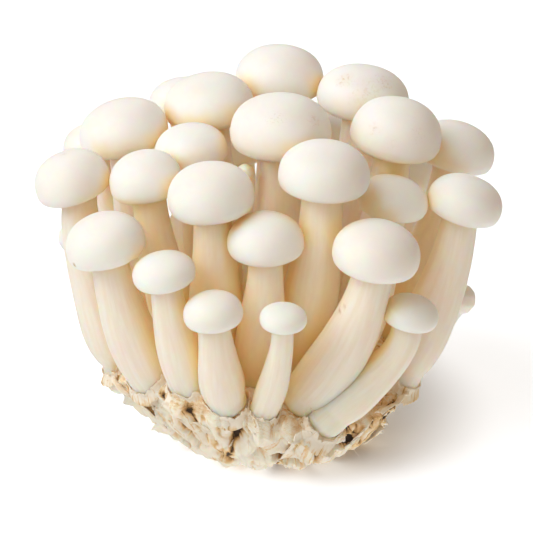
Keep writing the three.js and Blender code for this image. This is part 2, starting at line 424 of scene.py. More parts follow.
def myceliumFinish(name, softness):  # thin sheets are less soft, or light leaks out of them
    wire = Nodes(name)
    grain = ownPlace(wire, "grain")
    place = objectPlace(wire)
    torn = wire.number("torn")
    strand = wire.noise(wire.mapped(grain, (1, 0.12, 0.12)), 900, 4, 0.6)
    speck = wire.noise(place, 420, 4, 0.62)
    broad = wire.noise(place, 110, 3)
    ragged = wire.maths("ADD", torn, wire.span(strand, 0.3, 0.7, -0.18, 0.2))
    ragged = wire.maths("ADD", ragged, wire.span(speck, 0.3, 0.7, -0.14, 0.2))
    ragged = wire.maths("ADD", ragged, wire.span(broad, 0.35, 0.65, -0.12, 0.16))
    waves = wire.noise(wire.mapped(grain, (1, 0.14, 0.14)), 210, 2, 0.5, 0.6)
    fromCrease = wire.maths("ABSOLUTE", wire.maths("SUBTRACT", waves, 0.5))
    crease = wire.span(fromCrease, 0.0, 0.022, 1, 0)  # thin lines where the waves pass their middle
    # the crease lines are painted browner: painted shade in the creases
    ragged = wire.maths("ADD", ragged, wire.maths("MULTIPLY", crease, 0.45))
    tone = wire.mix(wire.span(ragged, 0.15, 0.8), (0.975, 0.90, 0.77, 1), (0.835, 0.58, 0.29, 1))
    tone = wire.mix(wire.span(ragged, 0.7, 1.15), tone, (0.45, 0.25, 0.095, 1))
    # near black where the side is most torn, which is down the cracks: painted shade in the slits
    tone = wire.mix(wire.span(ragged, 1.05, 1.45), tone, (0.035, 0.02, 0.01, 1))
    normal = wire.bump(wire.maths("SUBTRACT", strand, wire.maths("MULTIPLY", crease, 0.4)), 0.45, 0.3 * mm)
    normal = wire.bump(speck, 0.5, 0.25 * mm, normal)
    wire.set(Base_Color=tone, Roughness=0.78, Normal=normal)
    wire.set(Specular_IOR_Level=0.2, Subsurface_Weight=softness, Subsurface_Scale=0.002)
    wire.set(Subsurface_Radius=(1.0, 0.6, 0.34))
    return wire.material


capSkin = capFinish()
stemFlesh = stemFinish()
tornMycelium = myceliumFinish("tornMycelium", 0.45)
thinMycelium = myceliumFinish("tornMyceliumSheet", 0.12)
setCamera()
setStudio()
print("camera, studio and finishes set")


# caps
capSet = {
    "sides": 160, "domeRows": 24, "marginRows": 9, "dome": 0.4, "margin": 0.15, "fullness": 2.25,
    "gillRim": 0.395, "gillEnd": 0.215, "gillRows": 6, "gillDepth": 0.06, "shortGillEnd": 0.32,
    "ridgeRow": 3, "ridgeDepth": 0.004, "swell": 0.4, "swellSize": 12, "turnEach": 2.4,
}


def capOutline():
    rim, margin, dome, power = capSet["gillRim"], capSet["margin"], capSet["dome"], 2 / capSet["fullness"]
    outline = []
    for row in range(capSet["domeRows"] + 1):
        turn = math.pi / 2 * (1 - row / capSet["domeRows"])
        outline.append((max(0.5 * math.cos(turn) ** power, 0.006), dome * math.sin(turn) ** power))
    for row in range(1, capSet["marginRows"] + 1):
        turn = math.pi / 2 * row / capSet["marginRows"]
        radius = rim + (0.5 - rim) * math.cos(turn) ** power
        if row == capSet["ridgeRow"]:  # the faint line round the margin
            radius -= capSet["ridgeDepth"]
        outline.append((radius, -margin * math.sin(turn) ** power))
    outline.append((rim - 0.01, -margin + 0.01))
    for row in range(capSet["gillRows"] + 1):
        share = row / capSet["gillRows"]
        radius = rim - 0.018 + (capSet["gillEnd"] - rim) * share
        outline.append((radius, -margin + 0.035 + 0.05 * share))
    outline.append((0.1, -margin + 0.09))
    outline.append((0.03, -margin + 0.09))
    return outline


def makeCapMaster():
    master = turnedShell("capMaster", capOutline(), capSet["sides"])
    step = 2 * math.pi / capSet["sides"]
    rim = capSet["gillRim"] - 0.004

    def edgeOfGill(co):
        radius = co.xy.length
        if co.z > -0.02 or not capSet["gillEnd"] - 0.002 < radius < rim:
            return False
        side = round(math.atan2(co.y, co.x) / step) % 4
        return side == 0 or (side == 2 and radius > capSet["shortGillEnd"])

    editWhere(master, edgeOfGill)
    bpy.ops.transform.translate(value=(0, 0, -capSet["gillDepth"] * 0.6))
    bpy.ops.object.mode_set(mode="OBJECT")
    keepPlaces(master, "capPlace", places(master.data))
    return master


def readCap(node):  # where a cap's solid stands: middle of its widest ring, the way it faces, and its sizes
    points = places(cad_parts[node].data)
    middle = points.mean(axis=0)
    _, directions = np.linalg.eigh(np.cov((points - middle).T))
    facing = directions[:, 0] * np.sign(directions[2, 0])
    heights = (points - middle) @ facing
    reach = np.linalg.norm(points - middle - np.outer(heights, facing), axis=1)
    widest = heights[reach > reach.max() * 0.995].mean()
    centre = Vector(middle + facing * widest)
    return centre, Vector(facing), 2 * reach.max(), heights.max() - widest, widest - heights.min()


swellPattern = bpy.data.textures.new("capSwell", "CLOUDS")
swellPattern.noise_scale = capSet["swellSize"] * mm
swellPattern.noise_depth = 1


# Marks on single caps: how far right and up they are as seen from the front, in shares of the cap's radius,
# or None for the top of the cap. Then their radius in mm and how strong they are.
capMarks = {
    "scuff": {
        "cap_20": [(-0.45, 0.42, 2.2, 0.95), (0.55, 0.4, 3.0, 0.8), (0.0, 0.1, 4.6, 0.4)],
        "cap_16": [(-0.5, 0.12, 1.6, 0.55), (-0.15, -0.2, 1.6, 0.3), (0.45, 0.0, 1.8, 0.3)],
        "cap_14": [(0.68, 0.25, 1.8, 0.6), (-0.1, 0.3, 2.2, 0.25)],
        "cap_07": [(None, None, 1.3, 0.5)],
        "cap_10": [(None, None, 1.2, 0.4)],
        "cap_12": [(None, None, 1.5, 0.6)],
        "cap_13": [(None, None, 1.6, 0.6)],
        "cap_18": [(None, None, 1.5, 0.4)],
    },
    "stain": {
        "cap_07": [(-0.75, -0.5, 0.5, 1.0), (0.1, -0.9, 1.1, 0.6)],
        "cap_04": [(-0.15, -0.85, 1.0, 0.8), (0.25, -0.88, 0.9, 0.8)],
        "cap_13": [(-0.25, -0.9, 1.2, 0.5), (0.25, -0.85, 0.9, 0.4)],
        "cap_12": [(0.1, -0.9, 1.0, 0.4)],
    },
}


def seenFromFront(right, up):
    tilt = math.radians(camSet["elevation"])
    near = math.sqrt(max(1 - right * right - up * up, 0))
    toBack = up * math.sin(tilt) - near * math.cos(tilt)
    return Vector((right, toBack, up * math.cos(tilt) + near * math.sin(tilt)))


def keepMarks(piece, node, centre, facing, width):
    away = places(piece.data) - np.array(centre)
    away /= np.linalg.norm(away, axis=1)[:, None]
    for kind, marked in capMarks.items():
        strength = np.zeros(len(away))
        for right, up, radius, most in marked.get(node, []):
            toward = facing if right is None else seenFromFront(right, up)
            apart = np.arccos(np.clip(away @ np.array(toward), -1, 1)) * width / 2 / mm
            strength = np.maximum(strength, most * np.clip(1.6 - 1.2 * apart / radius, 0, 1))
        keepNumbers(piece, kind, strength)


def growCap(master, node, index):
    centre, facing, width, dome, margin = readCap(node)
    piece = copyOf(master, node.replace("cap_", "mushroom_cap_"))
    points = places(piece.data) * width
    tall = np.where(points[:, 2] > 0, dome / (capSet["dome"] * width), margin / (capSet["margin"] * width))
    points[:, 2] *= tall
    movePlaces(piece.data, points)
    turn = Matrix.Rotation(index * capSet["turnEach"], 4, "Z")  # so that no two show the same side
    stand = facing.to_track_quat("Z", "Y").to_matrix().to_4x4()
    piece.matrix_world = Matrix.Translation(centre) @ stand @ turn
    pickOnly(piece)
    bpy.ops.object.transform_apply()
    swell = {"texture": swellPattern, "texture_coords": "GLOBAL", "mid_level": 0.5}
    applyModifier(piece, "DISPLACE", strength=capSet["swell"] * mm * width / (20 * mm), **swell)
    keepCrowding(piece)
    keepMarks(piece, node, centre, facing, width)
    finishPiece(piece, "cap_skin", capSkin, node)


capMaster = makeCapMaster()
for index, node in enumerate(capNodes):
    growCap(capMaster, node, index)
bpy.data.objects.remove(capMaster)
print("caps grown:", len(capNodes))


# stems
stemSet = {
    "sides": 56, "rings": 64, "levels": 14, "footReach": 3.0, "topReach": 1.2, "footRound": 3.2,
    "lump": 0.035, "groove": 0.1, "pleat": 0.16,
    # mm that a stem's lower end is higher than its solid's, and how much thicker a stem is than its solid
    "raised": {"stem_04": 2.4}, "wider": {"stem_26": 1.15},
}

# Brown marks on single stems: degrees round the stem, where -90 is the front, share of the way up, radius in
# mm and how strong they are.
stemMarks = {"stem_05": [(-158, 0.64, 0.35, 1.0), (-150, 0.69, 0.5, 0.3)], "stem_12": [(-120, 0.3, 0.8, 0.3)]}


def makeStemMaster():
    outline = [(0.3, 0), (0.75, 0)]
    outline += [(1, ring / stemSet["rings"]) for ring in range(stemSet["rings"] + 1)]
    outline += [(0.75, 1), (0.3, 1)]
    outline = [(radius, height + 1e-4 * step) for step, (radius, height) in enumerate(outline)]
    return turnedShell("stemMaster", outline, stemSet["sides"])


def crossSections(node, heights):  # a solid's section at each height: its middle and its area
    points = places(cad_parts[node].data)
    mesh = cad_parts[node].data
    mesh.calc_loop_triangles()
    corners = np.empty(len(mesh.loop_triangles) * 3, int)
    mesh.loop_triangles.foreach_get("vertices", corners)
    triangles = points[corners].reshape(-1, 3, 3)
    found = []
    for height in heights:
        area, moment = 0.0, np.zeros(2)
        above = triangles[:, :, 2] > height
        crossed = above.any(1) & ~above.all(1)
        for triangle, side in zip(triangles[crossed], above[crossed]):
            cuts = []
            for first, second in ((0, 1), (1, 2), (2, 0)):
                if side[first] != side[second]:
                    share = (height - triangle[first, 2]) / (triangle[second, 2] - triangle[first, 2])
                    cut = triangle[first, :2] + (triangle[second, :2] - triangle[first, :2]) * share
                    cuts.append((cut, side[first]))
            (start, goingDown), (end, _) = cuts
            if goingDown:
                start, end = end, start
            cross = start[0] * end[1] - start[1] * end[0]
            area += cross / 2
            moment += (start + end) * cross / 6
        found.append((moment / area, abs(area)))
    return found


def stemRoute(node):  # the line a stem follows and its radius, smoothed through the solid's sections
    bottom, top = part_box(node)
    tall = top.z - bottom.z
    heights = np.linspace(bottom.z + 0.12 * tall, top.z - 0.08 * tall, stemSet["levels"])
    sections = crossSections(node, heights)
    middles = np.array([middle for middle, _ in sections])
    across, along = (np.polyfit(heights, middles[:, axis], 3) for axis in (0, 1))
    slopes = np.stack([np.polyval(np.polyder(across), heights), np.polyval(np.polyder(along), heights)])
    upright = 1 / np.sqrt(1 + (slopes**2).sum(axis=0))
    radii = np.sqrt(np.array([area for _, area in sections]) * upright / math.pi)
    width = np.polyfit(heights, radii, 4)

    raised = stemSet["raised"].get(node, 0) * mm  # the lower end is this much higher than the solid's

    def at(height):
        inside = min(max(height, heights[0]), heights[-1])
        higher = height + raised * min(max(1 - (height - bottom.z) / tall, 0), 1) ** 2
        spare = height - inside
        slope = (np.polyval(np.polyder(across), inside), np.polyval(np.polyder(along), inside))
        spot = (np.polyval(across, inside) + slope[0] * spare, np.polyval(along, inside) + slope[1] * spare)
        radius = np.polyval(width, inside) * stemSet["wider"].get(node, 1)
        return Vector((spot[0], spot[1], higher)), Vector((slope[0], slope[1], 1)).normalized(), radius

    return at, bottom.z, top.z


def grooves(x, y, z, seed):  # lumps, pleats and fibres that run along a stem; all in metres
    lump = noise.noise(Vector((x * 120 + seed, y * 120, z * 70)))
    pleat = noise.noise(Vector((x * 420, y * 420 + seed, z * 28)))
    fibre = noise.noise(Vector((x * 1300, y * 1300, z * 75 + seed)))
    return lump, pleat, fibre


def growStem(master, node, name, index, slot, material):
    at, bottom, top = stemRoutes[node]
    piece = copyOf(master, name)
    points = places(piece.data)
    upright = at(bottom)[1].z
    rounding = stemSet["footRound"] * mm * upright
    start = bottom - stemSet["footReach"] * mm * upright**2
    if node not in stemSet["raised"]:  # the low side of a slanting foot mustn't come out under the block
        start += 0.8 * at(bottom)[2] * math.sqrt(1 - upright**2)
    end = top + stemSet["topReach"] * mm
    laid, grain, stain = [], [], []
    for x, y, share in points:
        spot, heading, radius = at(start + (end - start) * min(max(share, 0), 1))
        side = Vector((1, 0, 0)) - heading * heading.x
        side.normalize()
        behind = heading.cross(side)
        rise = min(max(share, 0) * (end - start) / rounding, 1)
        reach = math.hypot(x, y) * radius * math.sqrt(max(rise * (2 - rise), 0.01))
        angle = math.atan2(y, x)
        straight = (math.cos(angle) * radius, math.sin(angle) * radius, share * (end - start))
        lump, pleat, fibre = grooves(*straight, index * 7.3)
        reach *= 1 + stemSet["lump"] * lump
        reach += (stemSet["pleat"] * pleat + stemSet["groove"] * fibre) * mm * min(1, math.hypot(x, y))
        laid.append(spot + side * (math.cos(angle) * reach) + behind * (math.sin(angle) * reach))
        grain.append(straight)
        marked = 0
        for turn, up, size, most in stemMarks.get(node, []):
            across = turnBetween(angle, math.radians(turn)) * radius
            apart = math.hypot(across, (share - up) * (end - start)) / (size * mm)
            marked = max(marked, most * min(max(1.5 - apart, 0), 1))
        stain.append(marked)
    movePlaces(piece.data, laid)
    keepPlaces(piece, "grain", grain)
    keepNumbers(piece, "stain", stain)
    keepCrowding(piece, stemSet["raised"].get(node, 0) * mm)
    finishPiece(piece, slot, material, node)
    return piece


stemRoutes = {node: stemRoute(node) for node in stemNodes}
stemMaster = makeStemMaster()
for index, node in enumerate(stemNodes):
    growStem(stemMaster, node, node.replace("stem_", "mushroom_stem_"), index, "stem_flesh", stemFlesh)
bpy.data.objects.remove(stemMaster)
print("stems grown:", len(stemNodes))

# pins: buds still fused with their stems
pinSet = {"grain": 0.3, "smoothing": 8, "lump": 0.25, "lumpSize": 3}
pinLumps = bpy.data.textures.new("pinLumps", "CLOUDS")
pinLumps.noise_scale = pinSet["lumpSize"] * mm


def growPin(node):
    piece = copyOf(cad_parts[node], node.replace("pin_", "mushroom_pin_"))
    closeAndFaceOut(piece)
    applyModifier(piece, "REMESH", mode="VOXEL", voxel_size=pinSet["grain"] * mm)
    applyModifier(piece, "SMOOTH", factor=0.7, iterations=pinSet["smoothing"])
    lumps = {"texture": pinLumps, "texture_coords": "GLOBAL", "mid_level": 0.5}
    applyModifier(piece, "DISPLACE", strength=pinSet["lump"] * mm, **lumps)
    pickOnly(piece)
    bpy.ops.object.shade_smooth()
    keepCrowding(piece)
    finishPiece(piece, "pin_flesh", capSkin, node)


for node in pinNodes:
    growPin(node)
print("pins grown:", len(pinNodes))


# block of mycelium
blockPoints = places(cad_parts[blockNode].data)
blockReach = np.hypot(blockPoints[:, 0], blockPoints[:, 1])
rimHeight = float(blockPoints[blockReach.argmax(), 2])
rimRadius = float(blockReach.max())
blockLow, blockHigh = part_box(blockNode)
rimShift = (blockLow.x + blockHigh.x) / 2
blockTree = BVHTree.FromPolygons(
    [tuple(point) for point in blockPoints],
    [polygon.vertices[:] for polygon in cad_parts[blockNode].data.polygons],
)


def blockAxis(height):  # middle of the block at a height
    return Vector((rimShift * min(max(height / rimHeight, 0), 1), 0, height))


def sideHit(angle, height):
    return blockTree.ray_cast(blockAxis(height), Vector((math.cos(angle), math.sin(angle), 0)))[0]


def findRims():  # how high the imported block's rim is, all the way round
    heights = np.arange(9, 25, 0.5) * mm
    rims = []
    for angle in rimTurns:
        hits = [sideHit(angle, height) for height in heights]
        reach = [0 if hit is None else math.hypot(hit.x - rimShift, hit.y) for hit in hits]
        rims.append(heights[int(np.argmax(reach))])
    return np.array(rims)


usualReach = 30  # mm from the middle of the block to its side near the rim, for turning degrees into lengths
rimTurns = np.radians(np.arange(-180, 180, 6))
rims = findRims()


def rimAt(angle):
    return float(np.interp(angle, rimTurns, rims, period=2 * math.pi))


def blockSpot(angle, height):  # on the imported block's side
    inside = min(max(height, 0.1 * mm), rimAt(angle) - 0.3 * mm)
    spot = sideHit(angle, inside)
    return Vector((spot.x, spot.y, height))


def blockSlope(angle, height):  # how fast the side, a bowl's curve, runs out for each unit that it climbs
    rim = rimAt(angle)
    share = min(max(height / rim, 0.12), 1)
    return 0.57 * rimHeight / rim * share**-0.45


def blockOutward(angle, height):
    return Vector((math.cos(angle), math.sin(angle), -blockSlope(angle, height))).normalized()


# Each track runs over the side of the block, as (degrees round it, millimetres up) pairs. lobe swells, ridge
# is a thin fold, hollow is torn away to a flat floor and crack is a deep slit. half is half its width in mm,
# at its start and its end, rise how far it stands out or sinks in, and tan how brown its floor is.
frontTracks = [
    {"kind": "crack", "path": [(-101, 22), (-101, 19), (-102, 15), (-106, 11), (-111, 5)],
     "half": (1.0, 0.8), "rise": 3.6},
    {"kind": "hollow", "path": [(-132, 21), (-127, 17), (-121, 11)], "half": (2.3, 1.4), "rise": 1.8},
    {"kind": "hollow", "path": [(-143, 18), (-140, 12), (-134, 6)], "half": (1.3, 0.9), "rise": 1.6},
    {"kind": "crack", "path": [(-155, 20), (-149, 14), (-148, 9), (-142, 4)],
     "half": (1.2, 0.9), "rise": 2.4},
    {"kind": "crack", "path": [(-119, 21), (-117, 16), (-118, 10)], "half": (0.9, 0.7), "rise": 2.6},
    {"kind": "lobe", "path": [(-105, 9), (-96, 6), (-87, 6)], "half": (3.6, 4.2), "rise": 2.3},
    {"kind": "lobe", "path": [(-73, 14), (-76, 9), (-80, 3)], "half": (2.6, 3.6), "rise": 2.2},
    {"kind": "hollow", "path": [(-86, 17), (-78, 15.5)], "half": (1.8, 1.4), "rise": 3.4},
    {"kind": "hollow", "path": [(-83, 9), (-80, 7)], "half": (2.1, 1.8), "rise": 1.5},
    {"kind": "hollow", "path": [(-64, 9), (-55, 9)], "half": (2.6, 2.4), "rise": 1.7, "tan": 1.05},
    {"kind": "lobe", "path": [(-45, 14), (-45, 8), (-52, 2)], "half": (3.0, 3.2), "rise": 1.4},
    {"kind": "crack", "path": [(-69, 10), (-67, 5), (-66, 1)], "half": (0.8, 0.7), "rise": 2.6},
    {"kind": "crack", "path": [(-86, 6), (-87, 1)], "half": (0.8, 0.8), "rise": 2.0},
    {"kind": "ridge", "path": [(-92, 21), (-92, 17), (-96, 12), (-101, 9)], "half": (0.9, 0.7), "rise": 1.3},
]

blockSet = {
    "sides": 140, "cuts": 2, "footRows": 3, "sideRows": 24, "topRows": 8, "inset": 0.7,
    "cellWide": 7.5, "cellTall": 24, "plate": 0.7, "tilt": 0.7, "seam": 0.6,
    "fibre": 0.42, "lump": 0.7, "warp": 1.0, "lobeRise": 1.9, "sunkShadeTan": 0.7, "rightShadeTan": 0.3,
}


def isOuter(node):  # whether a stem stands near enough to the rim for its foot to be seen
    at, bottom, _ = stemRoutes[node]
    spot = at(bottom)[0]
    return math.hypot(spot.x - rimShift, spot.y) > 0.55 * rimRadius


def footTracks():  # the outer stems run on down the block as lobes
    tracks = []
    for node in filter(isOuter, stemNodes):
        at, bottom, _ = stemRoutes[node]
        spot, _, radius = at(bottom)
        angle = math.degrees(math.atan2(spot.y, spot.x - rimShift))
        half = radius / mm
        path = [(angle, 22), (angle + 3, 12), (angle + 7, 2)]
        lobe = {"kind": "lobe", "path": path, "half": (half * 0.95, half * 0.6), "rise": blockSet["lobeRise"]}
        tracks.append(lobe)
    return tracks


# how many tears and sheets there are on the rest of the side, and where round it they start and how they step
sideSet = {"tears": 34, "tearStart": -22, "tearStep": 6.6, "sheets": 20, "sheetStart": -12, "sheetStep": 10.4}


def sideTracks():  # tears and folds for the parts of the side that the list above leaves
    draw = random.Random(11)
    tracks = []
    for step in range(sideSet["tears"]):
        angle = sideSet["tearStart"] + step * sideSet["tearStep"] + draw.uniform(-2, 2)
        top = draw.uniform(11, 20)
        foot = draw.uniform(1, top - 6)
        drift = draw.uniform(-9, 9)
        kind = draw.choice(("crack", "hollow", "ridge", "ridge", "hollow"))
        half = {"crack": (1.0, 0.8), "hollow": (2.0, 1.5), "ridge": (0.9, 0.7)}[kind]
        rise = {"crack": 2.2, "hollow": 1.5, "ridge": 1.1}[kind]
        path = [(angle, top), (angle + drift, (top + foot) / 2), (angle + drift * 0.6, foot)]
        tracks.append({"kind": kind, "path": path, "half": half, "rise": rise, "tan": draw.uniform(0.6, 1.0)})
    return tracks


def distanceTo(path, angle, height, radius, stretch):  # arrays: distance from a track in mm, share along it
    nearest = np.full(angle.shape, 1e9)
    share = np.zeros(angle.shape)
    legs = len(path) - 1
    for leg in range(legs):
        (firstTurn, firstHeight), (nextTurn, nextHeight) = path[leg], path[leg + 1]
        across = turnBetween(angle, math.radians(firstTurn)) * radius
        up = (height - firstHeight) * stretch
        legAcross = math.radians(nextTurn - firstTurn) * radius
        legUp = (nextHeight - firstHeight) * stretch
        part = np.clip((across * legAcross + up * legUp) / (legAcross**2 + legUp**2 + 1e-9), 0, 1)
        distance = np.hypot(across - part * legAcross, up - part * legUp)
        closer = distance < nearest
        nearest = np.where(closer, distance, nearest)
        share = np.where(closer, (leg + part) / legs, share)
    return nearest, share


def smoothStep(value):
    value = np.clip(value, 0, 1)
    return value * value * (3 - 2 * value)


def reliefOf(tracks, angle, height, radius, stretch):  # relief in mm and how torn it looks, from 0 to 1.6
    relief = np.zeros(angle.shape)
    torn = np.zeros(angle.shape)
    for track in tracks:
        distance, share = distanceTo(track["path"], angle, height, radius, stretch)
        half = track["half"][0] + (track["half"][1] - track["half"][0]) * share
        close = distance / half
        if track["kind"] == "lobe":
            shape = np.sqrt(np.clip(1 - close**2, 0, 1))
            relief = np.maximum(relief, track["rise"] * shape)
            torn = np.where(close < 1, torn - 0.3 * shape, torn)
        elif track["kind"] == "ridge":
            relief += track["rise"] * np.exp(-(close**2))
            torn -= 0.6 * np.exp(-(close**2))
        elif track["kind"] == "hollow":
            floor = 1 - smoothStep((close - 0.75) / 0.35)
            relief += 0.5 * np.exp(-((close - 1.25) / 0.22) ** 2)
            relief = relief * (1 - floor) - track["rise"] * floor
            torn += track.get("tan", 0.75) * floor - 0.5 * np.exp(-((close - 1.2) / 0.2) ** 2)
        else:
            relief -= track["rise"] * np.exp(-(close**2))
            # a crack is painted dark brown to black down its line: painted shade in the slit
            torn += track.get("tan", 1.5) * np.exp(-((close / 0.9) ** 2))
    return relief, torn


def growBlock():
    steps = []
    rows = blockSet["footRows"], blockSet["sideRows"], blockSet["topRows"]
    for part, count in enumerate(rows):
        steps += [part + row / count for row in range(count)]
    outline = [(1, max(step, 0.02)) for step in steps] + [(1, 2.98)]
    piece = turnedShell("mycelium_block_torn", outline, blockSet["sides"])
    editAll(piece)
    bpy.ops.mesh.subdivide(number_cuts=blockSet["cuts"])
    bpy.ops.object.mode_set(mode="OBJECT")
    raw = places(piece.data)
    angle = np.arctan2(raw[:, 1], raw[:, 0])
    step = raw[:, 2]
    onSide = np.clip(step - 1, 0, 1)
    height = onSide * np.array([rimAt(turn) for turn in angle]) / mm
    count = len(raw)
    spots = np.zeros((count, 3))
    outward = np.zeros((count, 3))
    names = ("warpA", "warpB", "lean", "plate", "seam", "fibre", "lump", "patch", "fray")
    fields = {name: np.zeros(count) for name in names}
    for index in range(count):
        turn, up = angle[index], height[index]
        spot = blockSpot(turn, up * mm)
        facing = blockOutward(turn, up * mm)
        if step[index] < 1:  # underneath
            axis = blockAxis(0)
            spot = axis + (spot - axis) * max(step[index], 0.001)
            spot.z = 0
            facing = Vector((0, 0, -1))
        elif step[index] > 2:  # on top, between the stems
            share = max(3 - step[index], 0.001)
            axis = blockAxis(rimAt(turn))
            flat = axis + (spot - axis) * share
            flat.z = rimAt(turn)
            hit = blockTree.ray_cast(Vector((flat.x, flat.y, 0.1)), Vector((0, 0, -1)))[0]
            spot = hit if hit is not None and share < 0.96 else flat
            facing = Vector((0, 0, 1))
        spots[index] = spot
        outward[index] = facing
        way = Vector((math.cos(turn), math.sin(turn), 0))
        wide = usualReach / blockSet["cellWide"]
        warpA = noise.noise(Vector((way.x * 9, way.y * 9, up * 0.25)))
        warpB = noise.noise(Vector((way.x * 9 + 40, way.y * 9, up * 0.25)))
        frayA = noise.noise(Vector((way.x * 34, way.y * 34, up * 1.1)))
        sample = Vector((way.x * wide + warpA * 0.35, way.y * wide + warpB * 0.35, up / blockSet["cellTall"]))
        (near, second, *_), (middle, *_) = noise.voronoi(sample)
        lean = noise.noise(middle * 7.7) * 2
        raised = noise.noise(middle * 5.3 + Vector((9, 0, 0))) * 1.6
        sideways = way.x * (sample.y - middle.y) - way.y * (sample.x - middle.x)
        fields["warpA"][index] = warpA + 0.35 * frayA
        fields["warpB"][index] = warpB + 0.35 * noise.noise(Vector((way.x * 34, way.y * 34 + 9, up * 1.1)))
        fields["plate"][index] = raised * blockSet["plate"] + lean * sideways * blockSet["tilt"] * 2
        fields["seam"][index] = math.exp(-(((second - near) / 0.07) ** 2))
        slide = math.radians(lean * up * 1.6)
        along = Vector((math.cos(turn + slide), math.sin(turn + slide), 0))
        fields["lean"][index] = slide
        fields["fibre"][index] = noise.noise(Vector((along.x * 62 + warpA * 2, along.y * 62, up * 0.28)))
        fields["lump"][index] = noise.noise(Vector((way.x * 12, way.y * 12, up * 0.3 + 5)))
        fields["patch"][index] = noise.noise(Vector((way.x * 7 + 3, way.y * 7, up * 0.16)))
        fields["fray"][index] = noise.noise(Vector((way.x * 130, way.y * 130, up * 1.3)))
    radius = usualReach * np.sqrt(np.clip(onSide, 0.3, 1))
    stretch = np.sqrt(1 + np.array([blockSlope(turn, up * mm) for turn, up in zip(angle, height)]) ** 2)
    frayedTurn = angle + fields["warpA"] * blockSet["warp"] / radius
    frayedUp = height + fields["warpB"] * blockSet["warp"] * 1.2
    relief, torn = reliefOf(footTracks() + sideTracks() + frontTracks, frayedTurn, frayedUp, radius, stretch)
    smoothSkin = np.clip(relief / 2, 0, 1)
    relief += fields["plate"] * (1 - 0.55 * smoothSkin) - blockSet["seam"] * fields["seam"]
    relief += blockSet["fibre"] * fields["fibre"] + 0.12 * fields["fray"] + blockSet["lump"] * fields["lump"]
    onlySide = smoothStep(np.minimum(onSide / 0.06, 1)) * smoothStep((2.35 - step) / 0.3)
    relief = (relief - blockSet["inset"]) * onlySide
    spots += outward * (relief * mm)[:, None]
    spots[:, 2] = np.maximum(spots[:, 2], 0)
    movePlaces(piece.data, spots)
    # browner the deeper the side is sunk: partly the tan of torn flesh, partly painted shade in the hollows
    # and cracks
    deep = smoothStep((0.2 - relief) / 2.6)
    # browner round the right front, the side away from the lamps: painted shade
    shadedRight = smoothStep(1.15 - np.abs(turnBetween(angle, math.radians(-35))) / 0.8)
    torn += 0.23 + blockSet["sunkShadeTan"] * deep + blockSet["rightShadeTan"] * shadedRight
    torn += 0.5 * fields["seam"] + 0.5 * fields["patch"] - 0.35 * fields["fibre"]
    torn = np.where(step > 2.02, 0.4 + 0.3 * fields["patch"], torn)  # plain between the stems
    keepNumbers(piece, "torn", np.clip(torn, 0, 1.6))
    unrolled = np.stack([(angle + fields["lean"]) * usualReach * mm, height * mm, step * 10 * mm], axis=1)
    unrolled[step > 2.02] = spots[step > 2.02] * (1, 8, 8)  # no streaks between the stems
    keepPlaces(piece, "grain", unrolled)
    closeAndFaceOut(piece)
    finishPiece(piece, "mycelium", tornMycelium, blockNode)
    return piece


# torn sheets, collars, scraps and loose fibres on the block
sheetSet = {
    "across": 16, "along": 34, "scraps": 30, "scrapAcross": 5, "scrapAlong": 9, "thickness": 0.24,
    "ragged": 0.15, "wrinkle": 0.22, "stand": 0.55, "fibre": 0.3,
}

# path is as for the tracks. half is half the width in mm, lift how far the raised edge stands off, peel how
# far the top end comes away, and side which edge is raised, going along the path: 1 left, -1 right, 0 both.
frontSheets = [
    {"path": [(-163, 19.5), (-155, 14), (-151, 8), (-143, 3)],
     "half": 2.4, "lift": 1.1, "peel": 1.6, "side": 1},
    {"path": [(-148, 20.5), (-138, 18), (-134, 12), (-128, 6)],
     "half": 2.5, "lift": 1.3, "peel": 1.4, "side": -1},
    {"path": [(-130, 21.5), (-120, 18.5), (-116, 13), (-113, 8)],
     "half": 2.2, "lift": 1.2, "peel": 1.3, "side": -1},
    {"path": [(-77, 17), (-76, 13), (-78, 9), (-83, 4)], "half": 2.3, "lift": 1.2, "peel": 1.2, "side": 0},
    {"path": [(-47, 14), (-44, 9), (-51, 3)], "half": 2.8, "lift": 1.0, "peel": 0.8, "side": -1},
    {"path": [(-44, 17), (-34, 16), (-22, 16)], "half": 1.5, "lift": 1.6, "peel": 1.8, "side": 1},
    {"path": [(-26, 17), (-16, 15), (-6, 15)], "half": 1.7, "lift": 1.7, "peel": 1.6, "side": 1},
]


def sideSheets():
    draw = random.Random(5)
    sheets = []
    for step in range(sideSet["sheets"]):
        angle = sideSet["sheetStart"] + step * sideSet["sheetStep"] + draw.uniform(-3, 3)
        top = draw.uniform(13, 19.5)
        foot = max(draw.uniform(top - 15, top - 8), 1.5)
        drift = draw.uniform(-10, 10)
        path = [(angle, top), (angle + drift, (top + foot) / 2), (angle + drift * 0.7, foot)]
        sheets.append({
            "path": path, "half": draw.uniform(1.6, 3.2), "lift": draw.uniform(0.5, 1.1),
            "peel": draw.uniform(0.3, 1.3), "side": draw.choice((1, -1, 0)),
        })
    return sheets


def scraps():  # small curled bits
    draw = random.Random(3)
    bits = []
    for _ in range(sheetSet["scraps"]):
        angle = draw.uniform(-175, 185)
        top = draw.choice((draw.uniform(16, 21.5), draw.uniform(4, 18)))
        length = draw.uniform(2, 5)
        bits.append({
            "path": [(angle, top), (angle + draw.uniform(-6, 6), max(top - length, 0.8))],
            "half": draw.uniform(0.4, 0.9), "lift": draw.uniform(0.4, 1.0),
            "peel": draw.uniform(0.8, 1.8), "side": draw.choice((1, -1, 0)),
        })
    return bits


def makeSheetMaster(across, along):
    deselectAll()
    bpy.ops.mesh.primitive_grid_add(x_subdivisions=across, y_subdivisions=along, size=2, location=(0, 0, 0))
    master = bpy.context.object
    master.name = "sheetMaster"
    return master


def onPath(path, share):
    place = share * (len(path) - 1)
    leg = min(int(place), len(path) - 2)
    part = smoothStep(place - leg) * 0.5 + (place - leg) * 0.5
    turn = path[leg][0] + (path[leg + 1][0] - path[leg][0]) * part
    up = path[leg][1] + (path[leg + 1][1] - path[leg][1]) * part
    return math.radians(turn), up


